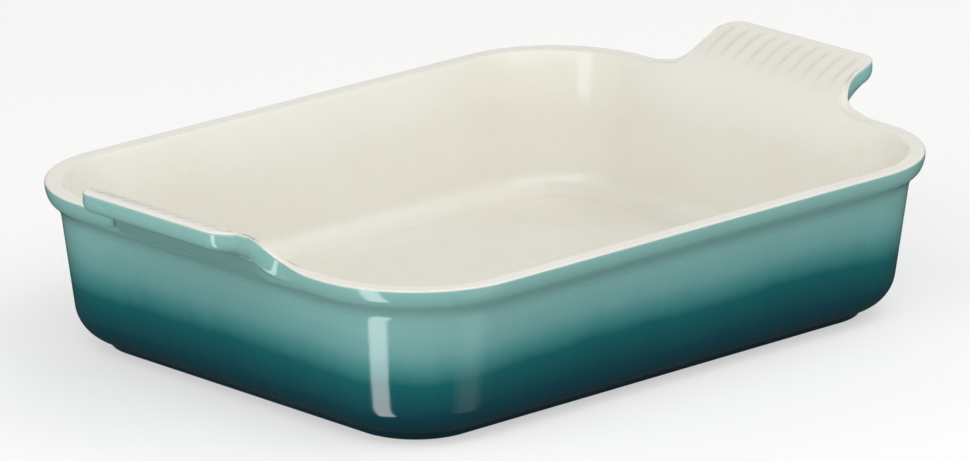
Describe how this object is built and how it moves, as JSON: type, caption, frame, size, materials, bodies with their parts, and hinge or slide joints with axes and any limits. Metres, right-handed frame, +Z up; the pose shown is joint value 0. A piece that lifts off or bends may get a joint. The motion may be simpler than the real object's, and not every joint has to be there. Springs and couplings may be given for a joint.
{
  "type": "baking dish",
  "caption": "Rectangular glazed stoneware baking dish with a rolled rim, upswept end handles with grip ribs, and a foot ring left bare where it stands; cream inside, teal outside.",
  "frame": {"origin": "centre of the dish in the plane of its foot ring", "axes": "+X along the length towards the far handle, +Y across the dish, +Z up"},
  "size_m": [0.372, 0.249, 0.0871],
  "materials": {
    "stoneware": "matt fired clay",
    "cream_glaze": "gloss",
    "teal_glaze": "gloss, darker towards the base",
    "base_glaze": "gloss"
  },
  "bodies": {
    "root": {"stoneware_body": "stoneware", "near_handle": "stoneware", "far_handle": "stoneware", "foot_ring": "stoneware", "inside_glaze": "cream_glaze", "outside_glaze": "teal_glaze", "base_glaze": "base_glaze"}
  },
  "joints": []
}
